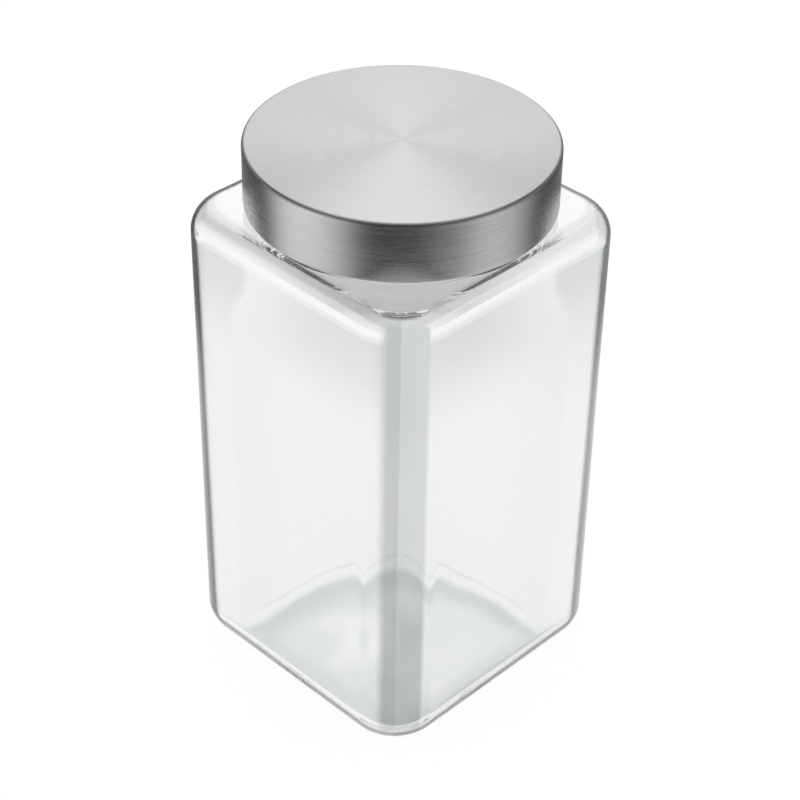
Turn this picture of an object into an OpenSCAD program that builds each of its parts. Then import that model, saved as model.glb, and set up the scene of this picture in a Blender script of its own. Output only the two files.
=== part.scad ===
// Square glass canister with a round screw-on lid of brushed steel.
// The jar is moulded glass with a threaded neck. The lid is a drawn steel cover, hemmed under
// a threaded plastic insert, and a loose sealing ring lies in a groove inside the insert.
// Millimetres. The origin is the middle of the base, and +Z points up.

/* [Jar] */
// Width of the square body across its flats
body_w = 114; // [108:1:140]
// Height of the flat shoulder above the table
shoulder_z = 188.5; // [110:0.5:260]
// Radius of the four upright corners
corner_r = 20; // [16:0.5:26]
// Radius of the edge between the sides and the shoulder
shoulder_r = 10; // [7:0.5:12]
// Radius of the edge between the sides and the base
base_r = 11; // [8:0.5:13]
// Thickness of the side walls
wall = 3.5; // [3:0.1:4.5]
// Thickness of the glass at the shoulder
shoulder_t = 4; // [3:0.1:6]
// Thickness of the glass at the floor
floor_t = 5; // [5:0.1:12]
// Radius inside the jar between the walls and the floor
floor_r = 7; // [4:0.5:11]
// Radius of the hollow under the base
punt_r = 36; // [20:0.5:40]
// Depth of the hollow under the base
punt_d = 2; // [1:0.1:3]

/* [Neck] */
// Diameter of the open mouth
mouth_d = 91; // [70:0.5:91]
// Thickness of the neck wall
neck_wall = 3.5; // [3:0.1:4]
// Height of the neck above the shoulder
neck_h = 21.4; // [19:0.1:30]
// Radius of the rounded edges of the rim
rim_r = 1.4; // [0.8:0.1:1.5]
// Radius of the flare where the neck grows out of the shoulder
root_r = 1.2; // [0.6:0.1:1.4]
// Height of the middle of the thread's lower end above the shoulder
thread_start = 9.6; // [9.4:0.1:11]
// Rise of the thread in one turn
thread_pitch = 6; // [6:0.5:8]
// Length of the glass thread in turns
thread_turns = 1.3; // [0.7:0.05:1.3]
// How far the glass thread stands out of the neck
thread_depth = 1.6; // [1.2:0.1:2]
// Height of the glass thread at its root
thread_h = 2.8; // [2:0.1:2.8]

/* [Lid] */
// Gap between the shoulder and the lower edge of the lid
lid_gap = 2.9; // [2:0.1:3.2]
// Thickness of the steel sheet
sheet_t = 0.5; // [0.3:0.05:0.7]
// Outer radius of the bend between the top and the side
edge_r = 1.2; // [0.8:0.1:2]
// Outer radius of the hem turned in at the lower edge
hem_r = 1.1; // [0.9:0.05:1.3]
// Height of the hem's inner leg above its bend
hem_leg = 0.9; // [0.5:0.1:1.2]
// Thickness of the insert's skirt
skirt_t = 2.3; // [2:0.1:3]
// Thickness of the insert's top plate
plate_t = 1.5; // [1.2:0.1:2.5]
// Height of the insert's thread at its root
grip_h = 2.2; // [1.6:0.1:2.2]
// Length of the insert's thread in turns
grip_turns = 1.6; // [1:0.05:1.6]
// Thickness of the sealing ring
seal_t = 1.9; // [1.5:0.1:3]
// Width of the sealing ring
seal_w = 6.6; // [5.5:0.1:8]
// Thickness of the rib that keeps the sealing ring centred
rib_t = 1.2; // [0.8:0.1:2]
// How far that rib reaches below the rim of the jar
rib_drop = 0.5; // [0.2:0.1:1.5]

/* [Clearances] */
// Gap between the thread crests and the walls they turn against
thread_gap = 0.5; // [0.4:0.05:0.7]
// Gap between the lid's thread and the glass thread that it climbs under
flank_gap = 0.3; // [0.2:0.05:0.5]
// Gap between parts of the lid that lie against each other
seat_gap = 0.1; // [0.05:0.05:0.15]
// Gap between the sealing ring and the insert that turns round it
slip_gap = 0.25; // [0.15:0.05:0.4]

/* [Hidden] */
$fn = 96;

// Overlap that joins one solid to the next, and how far cutters pass a face
join = 1.5;
// Number of steps in one turn of a thread
thread_steps = 48;
// Number of steps over which a thread fades into its wall
fade_steps = 5;
// Number of straight steps in the flare of the neck
root_steps = 4;

inner_w = body_w - 2 * wall;
inner_top = shoulder_z - shoulder_t;
mouth_r = mouth_d / 2;
neck_r = mouth_r + neck_wall;
rim_z = shoulder_z + neck_h;
crest_r = neck_r + thread_depth;
thread_z = shoulder_z + thread_start;

lid_z = shoulder_z + lid_gap;
skirt_in_r = crest_r + thread_gap;
skirt_out_r = skirt_in_r + skirt_t;
lid_r = skirt_out_r + seat_gap + sheet_t;
hem_z = lid_z + hem_r;
hem_top = hem_z + hem_leg;
skirt_z = hem_top + seat_gap;
seal_z = rim_z + seat_gap;
plate_z = seal_z + seal_t + seat_gap;
plate_top = plate_z + plate_t;
lid_top = plate_top + seat_gap + sheet_t;
grip_r = neck_r + thread_gap;
// How far each thread is buried in its wall
thread_bury = neck_wall / 4;
grip_bury = skirt_t / 3;
// How far the middle of the lid's thread lies below the middle of the glass thread
grip_drop = half_height(thread_h, neck_r - thread_bury, crest_r, grip_r) + grip_h / 4 + flank_gap;
seal_out_r = skirt_in_r - slip_gap;
seal_in_r = seal_out_r - seal_w;
rib_r = seal_in_r - slip_gap;

// A quarter of a disc, in the quadrant that the signs name
module quarter_disc(r, sx, sy) {
    intersection() {
        circle(r);
        translate([sx > 0 ? 0 : -r, sy > 0 ? 0 : -r]) square(r);
    }
}

// A block from the axis out to reach, with its lower and upper outer edges rounded
module edge_profile(reach, low, high, r_low, r_high) {
    translate([0, low]) square([reach - r_low, r_low]);
    translate([reach - r_low, low + r_low]) quarter_disc(r_low, 1, -1);
    translate([0, low + r_low]) square([reach, high - low - r_low - r_high]);
    translate([0, high - r_high]) square([reach - r_high, r_high]);
    translate([reach - r_high, high - r_high]) quarter_disc(r_high, 1, 1);
}

// A square block with round upright corners and rounded lower and upper edges: two bars that
// cross, and a quarter of a puck at each corner, which meets the bars face to face
module soft_block(w, r, low, high, r_low, r_high) {
    flat = w / 2 - r;
    for (turn = [0, 90]) rotate([90, 0, turn]) linear_extrude(2 * flat, center = true) {
        edge_profile(w / 2, low, high, r_low, r_high);
        mirror([1, 0]) edge_profile(w / 2, low, high, r_low, r_high);
    }
    for (side = [0 : 3]) rotate([0, 0, 90 * side]) translate([flat, flat, 0])
        rotate_extrude(angle = 90) edge_profile(r, low, high, r_low, r_high);
}

// Half the height of a thread at radius r: it tapers from its foot to half its height at its crest
function half_height(h, foot, crest, r) = h / 2 - h / 4 * (r - foot) / (crest - foot);

// One ring of a thread: its foot in the wall and its crest, at an angle and a height.
// foot and crest are radii, so a crest inside the foot gives a thread that stands inwards.
function thread_ring(angle, z, foot, crest, h) = [
    for (p = [[foot, -h / 2], [crest, -h / 4], [crest, h / 4], [foot, h / 2]])
        [p[0] * cos(angle), p[0] * sin(angle), z + p[1]]
];

// How much of its depth a thread has at step i of n: it grows out of the wall at both ends
function thread_share(i, n) = min(1, i / fade_steps, (n - i) / fade_steps);

// A thread on a right-hand helix. It is buried in its wall by bury, so that the two solids join.
module thread(wall_r, depth, bury, h, turns, z) {
    n = round(turns * thread_steps);
    out = sign(depth);
    function depth_at(i) = (abs(depth) + bury) * thread_share(i, n) - bury / 2;
    points = [
        for (i = [0 : n]) each thread_ring(
            360 * i / thread_steps, z + thread_pitch * i / thread_steps,
            wall_r - out * bury, wall_r + out * min(abs(depth), depth_at(i)), h)
    ];
    ends = [[0, 1, 2], [0, 2, 3], [4 * n, 4 * n + 2, 4 * n + 1], [4 * n, 4 * n + 3, 4 * n + 2]];
    sides = [
        for (i = [0 : n - 1], k = [0 : 3])
            let (a = 4 * i + k, b = 4 * i + (k + 1) % 4)
                each [[a, a + 4, b], [b, a + 4, b + 4]]
    ];
    faces = [for (f = concat(ends, sides)) out > 0 ? [f[2], f[1], f[0]] : f];
    polyhedron(points, faces);
}

// The neck: a ring with a rounded rim and a small flare at its root
module neck_ring() {
    flare = [
        for (i = [0 : root_steps])
            let (a = 90 * i / root_steps)
                [neck_r + root_r * (1 - sin(a)), shoulder_z + root_r * (1 - cos(a))]
    ];
    rotate_extrude() {
        polygon(concat([[mouth_r, shoulder_z - join], [neck_r + root_r, shoulder_z - join]], flare,
            [[neck_r, rim_z - rim_r], [mouth_r, rim_z - rim_r]]));
        translate([mouth_r + rim_r, rim_z - rim_r]) square([neck_wall - 2 * rim_r, rim_r]);
        translate([mouth_r + rim_r, rim_z - rim_r]) quarter_disc(rim_r, -1, 1);
        translate([neck_r - rim_r, rim_z - rim_r]) quarter_disc(rim_r, 1, 1);
    }
}

module glass_jar() color([0.86, 0.9, 0.9, 0.35]) {
    // Radius of the ball whose cap is the hollow under the base
    punt_ball = (punt_r * punt_r + punt_d * punt_d) / (2 * punt_d);
    difference() {
        soft_block(body_w, corner_r, 0, shoulder_z, base_r, shoulder_r);
        soft_block(inner_w, corner_r - wall, floor_t, inner_top, floor_r, shoulder_r - wall);
        translate([0, 0, inner_top - join]) cylinder(r = mouth_r, h = shoulder_t + 2 * join);
        translate([0, 0, punt_d - punt_ball]) sphere(punt_ball);
    }
    neck_ring();
    thread(neck_r, thread_depth, thread_bury, thread_h, thread_turns, thread_z);
}

module lid_seal() color([0.93, 0.94, 0.94]) {
    // Radius of the rounded edges that press on the rim
    nose = seal_t / 3;
    rotate_extrude() {
        translate([seal_in_r, seal_z + nose]) square([seal_w, seal_t - nose]);
        translate([seal_in_r + nose, seal_z]) square([seal_w - 2 * nose, nose]);
        translate([seal_in_r + nose, seal_z + nose]) quarter_disc(nose, -1, -1);
        translate([seal_out_r - nose, seal_z + nose]) quarter_disc(nose, 1, -1);
    }
}

module lid_thread_insert() color([0.94, 0.94, 0.93]) {
    rotate_extrude() {
        // top plate, with its outer edge rounded to fit the bend in the cover
        square_from([0, plate_z], [skirt_out_r - edge_r, plate_top]);
        translate([skirt_out_r - edge_r, plate_top - edge_r]) quarter_disc(edge_r, 1, 1);
        square_from([skirt_in_r, skirt_z], [skirt_out_r - edge_r, plate_z]);
        square_from([skirt_out_r - edge_r, skirt_z], [skirt_out_r, plate_top - edge_r]);
        // rib that keeps the sealing ring centred
        square_from([rib_r - rib_t, rim_z - rib_drop], [rib_r, plate_z]);
    }
    thread(skirt_in_r, grip_r - skirt_in_r, grip_bury, grip_h, grip_turns, thread_z - grip_drop);
}

// A rectangle between two corners
module square_from(low, high) {
    translate(low) square(high - low);
}

module lid_cover() color([0.75, 0.75, 0.75]) {
    rotate_extrude() {
        square_from([0, lid_top - sheet_t], [lid_r - edge_r, lid_top]);
        translate([lid_r - edge_r, lid_top - edge_r]) difference() {
            quarter_disc(edge_r, 1, 1);
            circle(edge_r - sheet_t);
        }
        square_from([lid_r - sheet_t, hem_z], [lid_r, lid_top - edge_r]);
        // hem: a half round turned in under the insert, and its inner leg
        translate([lid_r - hem_r, hem_z]) difference() {
            union() {
                quarter_disc(hem_r, 1, -1);
                quarter_disc(hem_r, -1, -1);
            }
            circle(hem_r - sheet_t);
        }
        square_from([lid_r - 2 * hem_r, hem_z], [lid_r - 2 * hem_r + sheet_t, hem_top]);
    }
}

glass_jar();
lid_seal();
lid_thread_insert();
lid_cover();
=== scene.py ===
# %% [markdown]
# # A square glass canister with a spun steel lid
#
# The canister is a moulded glass jar, square with soft corners, and a round lid that screws onto its neck.
# The lid is a steel cover, brushed as it spins, hemmed round a plastic insert that holds the thread and a
# loose sealing ring. The CAD model fixes where each piece is and how it moves. This lesson gives each piece
# its looks.

# %% Load the frame
import math
import bmesh
import bpy
from mathutils import Matrix, Vector, noise


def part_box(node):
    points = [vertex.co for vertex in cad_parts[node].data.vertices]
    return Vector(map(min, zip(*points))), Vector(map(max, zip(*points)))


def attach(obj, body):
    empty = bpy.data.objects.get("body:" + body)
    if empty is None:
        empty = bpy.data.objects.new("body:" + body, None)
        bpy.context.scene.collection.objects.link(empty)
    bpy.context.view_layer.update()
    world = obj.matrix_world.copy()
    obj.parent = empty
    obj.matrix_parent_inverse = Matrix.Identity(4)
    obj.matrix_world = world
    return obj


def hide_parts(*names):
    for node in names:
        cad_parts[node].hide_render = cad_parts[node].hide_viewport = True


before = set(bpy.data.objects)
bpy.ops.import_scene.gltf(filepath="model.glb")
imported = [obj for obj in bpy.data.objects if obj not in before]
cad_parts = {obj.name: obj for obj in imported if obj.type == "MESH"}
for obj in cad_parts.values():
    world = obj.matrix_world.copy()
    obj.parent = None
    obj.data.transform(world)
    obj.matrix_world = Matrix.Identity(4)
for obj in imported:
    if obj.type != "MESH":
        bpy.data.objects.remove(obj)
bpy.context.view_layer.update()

# %% [markdown]
# ## The sizes
#
# The outer sizes are read from the frame, so that the pieces follow the model. The rest are the thicknesses
# and radii that a box can't give. Everything is in metres.

# %% Sizes
MM = 0.001
_, jar_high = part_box("glass_jar")
cover_low, cover_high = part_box("lid_cover")
insert_low, insert_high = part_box("lid_thread_insert")
seal_low, seal_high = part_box("lid_seal")

BODY_HALF = jar_high.x
RIM_Z = jar_high.z
NECK_H = 21.4 * MM
SHOULDER_Z = RIM_Z - NECK_H
CORNER_R = 20 * MM
SHOULDER_R = 10 * MM
BASE_R = 11 * MM
WALL = 3.5 * MM
SHOULDER_T = 4 * MM
FLOOR_T = 5 * MM
FLOOR_R = 7 * MM
PUNT_R = 36 * MM
PUNT_D = 2 * MM
NECK_WALL = 3.5 * MM
NECK_R = 49 * MM
ROOT_R = 1.2 * MM
RIM_R = 1.4 * MM
THREAD_START = SHOULDER_Z + 9.6 * MM
THREAD_PITCH = 6 * MM
THREAD_TURNS = 1.3
THREAD_DEPTH = 1.6 * MM
THREAD_H = 2.8 * MM
print(f"body {2000 * BODY_HALF:.1f} mm wide")
print(f"shoulder at {1000 * SHOULDER_Z:.1f} mm, rim at {1000 * RIM_Z:.1f} mm")

# %% [markdown]
# ## The camera
#
# The view is from above, looking down at one upright corner. A long lens from a little under a metre keeps
# the sides almost parallel. The camera turns a little aside and rolls a degree, as one held by hand does.

# %% Camera
CAMERA_DISTANCE = 0.7828
CAMERA_TURN = math.radians(44.415)
CAMERA_RISE = math.radians(36.363)
CAMERA_ROLL = math.radians(0.984)
CAMERA_PAN = math.radians(0.056)
CAMERA_AIM = Vector((0, 0, 0.1056))
CAMERA_LENS = 96.59


def add_camera():
    """A camera at the chosen distance and angle, aimed at the axis of the canister."""
    back = Vector((math.sin(CAMERA_TURN) * math.cos(CAMERA_RISE),
                   -math.cos(CAMERA_TURN) * math.cos(CAMERA_RISE), math.sin(CAMERA_RISE)))
    right = Vector((math.cos(CAMERA_TURN), math.sin(CAMERA_TURN), 0))
    axes = Matrix((right, back.cross(right), back)).transposed()
    turn = axes @ Matrix.Rotation(-CAMERA_PAN, 3, "Y") @ Matrix.Rotation(CAMERA_ROLL, 3, "Z")
    camera = bpy.data.objects.new("camera", bpy.data.cameras.new("camera"))
    camera.matrix_world = Matrix.Translation(CAMERA_AIM + back * CAMERA_DISTANCE) @ turn.to_4x4()
    camera.data.lens = CAMERA_LENS
    camera.data.sensor_width = 36
    bpy.context.collection.objects.link(camera)
    bpy.context.scene.camera = camera
    return camera


print("camera at", [round(c, 3) for c in add_camera().matrix_world.translation])

# %% [markdown]
# ## Helpers for lofted meshes
#
# Most pieces here are rings stacked along a profile: square rings for the body, round ones for the neck and
# the lid. One function joins rings into a skin, and closes it with a point at each end or by meeting its
# own start.

# %% Loft helper
def loft(name, rings, loop=False):
    """A closed mesh through rings of equal length. An end ring of one point is a pole."""
    mesh = bpy.data.meshes.new(name)
    skin = bmesh.new()
    rows = [[skin.verts.new(point) for point in ring] for ring in rings]
    pairs = list(zip(rows, rows[1:])) + ([(rows[-1], rows[0])] if loop else [])
    for low, high in pairs:
        count = max(len(low), len(high))
        for i in range(count):
            j = (i + 1) % count
            corners = [low[i % len(low)], low[j % len(low)], high[j % len(high)], high[i % len(high)]]
            skin.faces.new(list(dict.fromkeys(corners)))
    bmesh.ops.recalc_face_normals(skin, faces=skin.faces)
    if skin.calc_volume(signed=True) < 0:
        bmesh.ops.reverse_faces(skin, faces=skin.faces)
    for face in skin.faces:
        face.smooth = True
    skin.to_mesh(mesh)
    skin.free()
    piece = bpy.data.objects.new(name, mesh)
    bpy.context.collection.objects.link(piece)
    print(f"{name}: {len(mesh.vertices)} points, {len(mesh.polygons)} faces")
    return piece


def arc(centre, radius, start, end, steps):
    """Points (r, z) on an arc in the profile's plane, with angles in degrees from the outward direction."""
    angles = [math.radians(start + (end - start) * i / steps) for i in range(steps + 1)]
    return [(centre[0] + radius * math.cos(a), centre[1] + radius * math.sin(a)) for a in angles]


def span(start, end, steps):
    """The points (r, z) between two points of a profile, without its ends."""
    return [(start[0] + (end[0] - start[0]) * i / steps, start[1] + (end[1] - start[1]) * i / steps)
            for i in range(1, steps)]


# %% [markdown]
# ## The glass jar
#
# Glass shows both its surfaces, so the jar is one closed skin: up the outside, over the rim and down the
# inside. A square ring with round corners is an inset of the body's outline, and a round ring takes the
# directions of the same points, so that square and round rings join without a twist. Moulded glass is never
# quite even, so its inner surface waves a little, most of all on the floor. The mould's halves leave a fine
# seam up two opposite corners.

# %% Directions round the jar
FLAT_STEPS = 22
CORNER_STEPS = 30
SEAM_H = 0.12 * MM


def outline(half, corner):
    """The points of a square with round corners, anticlockwise, the same number for any size."""
    flat = half - corner
    points = []
    for quarter in range(4):
        turn = Matrix.Rotation(math.radians(90 * quarter), 2)
        for i in range(FLAT_STEPS):
            points.append(turn @ Vector((half, flat * (2 * i / FLAT_STEPS - 1))))
        for i in range(CORNER_STEPS):
            a = math.radians(90 * i / CORNER_STEPS)
            points.append(turn @ Vector((flat + corner * math.cos(a), flat + corner * math.sin(a))))
    return points


DIRECTIONS = [point.normalized() for point in outline(BODY_HALF, CORNER_R)]


def square_ring(half, corner, z):
    """A level ring round the body."""
    return [Vector((p.x, p.y, z)) for p in outline(half, corner)]


def round_ring(radius, z):
    """A level ring round the neck."""
    return [Vector((radius * d.x, radius * d.y, z)) for d in DIRECTIONS]


def edge_rings(half, corner, z, radius, start, end, steps):
    """Square rings that follow a rounded edge. start and end are angles from the outward direction."""
    return [square_ring(half - radius + r, corner - radius + r, height)
            for r, height in arc((0, z), radius, start, end, steps)]


print(len(DIRECTIONS), "points in each ring")


# %% The top of the shoulder
def edge_distance(x, y, half, corner):
    """How far a point lies inside the outline of the body."""
    dx, dy = abs(x) - (half - corner), abs(y) - (half - corner)
    if dx > 0 and dy > 0:
        return corner - math.hypot(dx, dy)
    return corner - max(dx, dy)


def shoulder_height(x, y, half, corner, top, radius):
    """The height of a block's top over a point: flat, and rounded down near its edge."""
    inside = radius - edge_distance(x, y, half, corner)
    if inside <= 0:
        return top
    return top - radius + math.sqrt(max(0, radius ** 2 - min(inside, radius) ** 2))


def shoulder_rings(half, corner, top, radius, inset, neck, steps):
    """Rings over the shoulder, from a square one that far inside the edge to a round one at the neck."""
    outer = outline(half - inset, corner - inset)
    rings = []
    for i in range(1, steps + 1):
        share = i / steps
        ring = []
        for p, d in zip(outer, DIRECTIONS):
            q = p.lerp(d * neck, share)
            ring.append(Vector((q.x, q.y, shoulder_height(q.x, q.y, half, corner, top, radius))))
        rings.append(ring)
    return rings


near_edge = shoulder_height(BODY_HALF - 5 * MM, 0, BODY_HALF, CORNER_R, SHOULDER_Z, SHOULDER_R)
print(f"the shoulder is {1000 * near_edge:.1f} mm high where it is 5 mm in from the edge")


# %% The thread
def bump_profile(distance, height):
    """1 in the middle of a thread and 0 at its foot, with rounded flanks."""
    share = min(1, max(0, (height / 2 - abs(distance)) / (height / 4)))
    return share * share * (3 - 2 * share)


THREAD_FADE = 0.08


def thread_share(angle, z, start, turns, height):
    """How much of its depth a right-hand thread has at an angle and a height."""
    best = 0
    for lap in range(int(turns) + 1):
        along = angle / (2 * math.pi) + lap
        if along > turns:
            continue
        fade = min(1, along / THREAD_FADE, (turns - along) / THREAD_FADE)
        best = max(best, fade * bump_profile(z - start - THREAD_PITCH * along, height))
    return best


def threaded_rings(ring_at, radius, depth, start, turns, height, low, high, steps):
    """Round rings up a wall, with a thread that stands out from it, or inwards where depth is negative."""
    rings = []
    for i in range(steps + 1):
        z = low + (high - low) * i / steps
        ring = []
        for p in ring_at(radius, z):
            share = thread_share(math.atan2(p.y, p.x) % (2 * math.pi), z, start, turns, height)
            reach = 1 + depth * share / radius
            ring.append(Vector((p.x * reach, p.y * reach, z)))
        rings.append(ring)
    return rings


print(f"the neck's thread makes {THREAD_TURNS} turns at {1000 * THREAD_PITCH:.0f} mm a turn")


# %% Outer skin of the jar
PUNT_STEPS = 10
SHOULDER_INSET = 5.5 * MM


def punt_rings():
    """The shallow hollow under the base, from its middle out."""
    ball = (PUNT_R ** 2 + PUNT_D ** 2) / (2 * PUNT_D)
    rings = [[Vector((0, 0, PUNT_D))]]
    for i in range(1, PUNT_STEPS + 1):
        r = PUNT_R * i / PUNT_STEPS
        rings.append(round_ring(r, PUNT_D - ball + math.sqrt(ball ** 2 - r ** 2)))
    return rings


def outer_rings():
    """The outside of the jar, from the middle of the base to the top of the neck."""
    shoulder_end = math.degrees(math.acos((SHOULDER_R - SHOULDER_INSET) / SHOULDER_R))
    rings = punt_rings()
    foot = square_ring(BODY_HALF - BASE_R, CORNER_R - BASE_R, 0)
    rings += [[a.lerp(b, i / 4) for a, b in zip(rings[-1], foot)] for i in range(1, 4)]
    rings += edge_rings(BODY_HALF, CORNER_R, BASE_R, BASE_R, -90, 0, 14)
    rings += [square_ring(BODY_HALF, CORNER_R, z) for _, z in
              span((0, BASE_R), (0, SHOULDER_Z - SHOULDER_R), 16)]
    rings += edge_rings(BODY_HALF, CORNER_R, SHOULDER_Z - SHOULDER_R, SHOULDER_R, 0, shoulder_end, 9)
    rings += shoulder_rings(BODY_HALF, CORNER_R, SHOULDER_Z, SHOULDER_R, SHOULDER_INSET, NECK_R + ROOT_R, 12)
    return rings


def add_seam(rings):
    """Raises the mould's seam along two opposite corners of the body."""
    corner_mid = FLAT_STEPS + CORNER_STEPS // 2
    for ring in rings:
        for quarter in (1, 3):
            point = ring[(quarter * (FLAT_STEPS + CORNER_STEPS) + corner_mid) % len(ring)]
            point.x *= 1 + SEAM_H / point.length
            point.y *= 1 + SEAM_H / point.length
    return rings


print(len(outer_rings()), "rings on the outside")


# %% Inner skin of the jar
INNER_HALF = BODY_HALF - WALL
INNER_CORNER = 14.8 * MM
INNER_TOP = SHOULDER_Z - SHOULDER_T
INNER_SHOULDER_R = 4.2 * MM
CLOSE_REACH = 5 * MM
MOUTH_R = NECK_R - NECK_WALL
WALL_WAVE_H = 0.12 * MM
WALL_WAVE_SCALE = 22
WALL_WAVE_SHIFT = Vector((3.1, 0.7, 5.2))
FLOOR_WAVE_H = 0.55 * MM
FLOOR_WAVE_SCALE = 55
FLOOR_WAVE_SHIFT = Vector((8.3, 2.9, 1.4))


def waved(point):
    """Moves a point of the inner skin as uneven glass does: a little on the walls and more on the floor."""
    wall = noise.noise(point * WALL_WAVE_SCALE + WALL_WAVE_SHIFT)
    floor = noise.noise(point * FLOOR_WAVE_SCALE + FLOOR_WAVE_SHIFT)
    near_floor = max(0, 1 - (point.z - FLOOR_T) / FLOOR_R)
    out = Vector((point.x, point.y, 0))
    if out.length > 0:
        out = out.normalized() * (WALL_WAVE_H * wall)
    return point + out * (1 - near_floor) + Vector((0, 0, FLOOR_WAVE_H * floor * near_floor))


def inner_rings():
    """The inside of the jar, from the mouth down to the middle of the floor.

    The rings lie close together just under the shoulder, where the glass bends the view most.
    """
    inset = INNER_SHOULDER_R / 2
    end = math.degrees(math.acos((INNER_SHOULDER_R - inset) / INNER_SHOULDER_R))
    foot = INNER_TOP - INNER_SHOULDER_R
    rings = shoulder_rings(INNER_HALF, INNER_CORNER, INNER_TOP, INNER_SHOULDER_R, inset, MOUTH_R, 14)[::-1]
    rings += edge_rings(INNER_HALF, INNER_CORNER, foot, INNER_SHOULDER_R, end, 0, 8)
    rings += [square_ring(INNER_HALF, INNER_CORNER, z) for _, z in
              span((0, foot), (0, foot - CLOSE_REACH), 10) + [(0, foot - CLOSE_REACH)] +
              span((0, foot - CLOSE_REACH), (0, FLOOR_T + FLOOR_R), 20)]
    rings += edge_rings(INNER_HALF, INNER_CORNER, FLOOR_T + FLOOR_R, FLOOR_R, 0, -90, 12)
    flat = rings[-1]
    rings += [[point.lerp(Vector((0, 0, FLOOR_T)), i / 18) for point in flat] for i in range(1, 18)]
    rings.append([Vector((0, 0, FLOOR_T))])
    return [[waved(point) for point in ring] for ring in rings]


print(len(inner_rings()), "rings on the inside")


# %% The jar
def add_jar():
    """The whole jar as one closed skin."""
    root = [round_ring(r, z) for r, z in
            arc((NECK_R + ROOT_R, SHOULDER_Z + ROOT_R), ROOT_R, 250, 180, 4)]
    neck = threaded_rings(round_ring, NECK_R, THREAD_DEPTH, THREAD_START, THREAD_TURNS, THREAD_H,
                          SHOULDER_Z + ROOT_R * 1.3, RIM_Z - RIM_R, 56)
    rim = [round_ring(r, z) for r, z in
           arc((NECK_R - RIM_R, RIM_Z - RIM_R), RIM_R, 12, 90, 6) +
           arc((MOUTH_R + RIM_R, RIM_Z - RIM_R), RIM_R, 90, 180, 6)]
    bore = [round_ring(MOUTH_R, z) for _, z in span((0, RIM_Z - RIM_R), (0, INNER_TOP), 6)]
    return loft("glass_jar_skin", add_seam(outer_rings()) + root + neck + rim + bore + inner_rings())


jar = add_jar()
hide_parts("glass_jar")
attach(jar, "jar")

# %% [markdown]
# ## The steel cover
#
# The cover is drawn from one sheet of steel and turned in at its lower edge, which makes the hem. Every cut
# through its axis is the same, so Geometry Nodes can make it from a rule: a line with five corners, rounded
# by Fillet Curve, is swept round a circle by Curve to Mesh. The sizes are named inputs of the tree.
# Solidify then gives the sheet its thickness, so the tree draws only the outer face of the sheet.

# %% The cover's sizes
COVER_R = cover_high.x
COVER_TOP = cover_high.z
COVER_FOOT = cover_low.z
SHEET = 0.5 * MM
EDGE_R = 1.2 * MM
HEM_R = 1.1 * MM
HEM_LEG = 0.9 * MM
AXLE_R = 1 * MM
print(f"cover {2000 * COVER_R:.1f} mm across and {1000 * (COVER_TOP - COVER_FOOT):.1f} mm high")


# %% Node helpers
def link(tree, output, target):
    """Joins an output, or sets a plain value, on a node's input."""
    if isinstance(output, bpy.types.NodeSocket):
        tree.links.new(output, target)
    else:
        target.default_value = output


def node(tree, kind, inputs=(), **settings):
    """Adds a node, sets its properties and joins its inputs, given as (name or number, output or value)."""
    made = tree.nodes.new(kind)
    for key, value in settings.items():
        setattr(made, key, value)
    for key, value in inputs:
        link(tree, value, made.inputs[key])
    return made


def math_node(tree, operation, *values):
    """One step of arithmetic."""
    return node(tree, "ShaderNodeMath", list(enumerate(values)), operation=operation).outputs[0]


def plus(tree, first, second):
    """The sum of two values."""
    return math_node(tree, "ADD", first, second)


def minus(tree, first, second):
    """The first value less the second."""
    return math_node(tree, "SUBTRACT", first, second)


def times(tree, first, second):
    """Two values multiplied."""
    return math_node(tree, "MULTIPLY", first, second)


def above(tree, value, limit):
    """1 where a value is above a limit, and 0 elsewhere."""
    return math_node(tree, "GREATER_THAN", value, limit)


def below(tree, value, limit):
    """1 where a value is below a limit, and 0 elsewhere."""
    return math_node(tree, "LESS_THAN", value, limit)


def size_of(tree, value):
    """A value without its sign."""
    return math_node(tree, "ABSOLUTE", value)


def split(tree, vector):
    """The three coordinates of a vector."""
    return node(tree, "ShaderNodeSeparateXYZ", [(0, vector)]).outputs


def flat_vector(tree, x, y):
    """A vector from two coordinates, with a third of 0."""
    return node(tree, "ShaderNodeCombineXYZ", [(0, x), (1, y)]).outputs[0]


def length(tree, vector):
    """The length of a vector."""
    return node(tree, "ShaderNodeVectorMath", [(0, vector)], operation="LENGTH").outputs["Value"]


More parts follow.
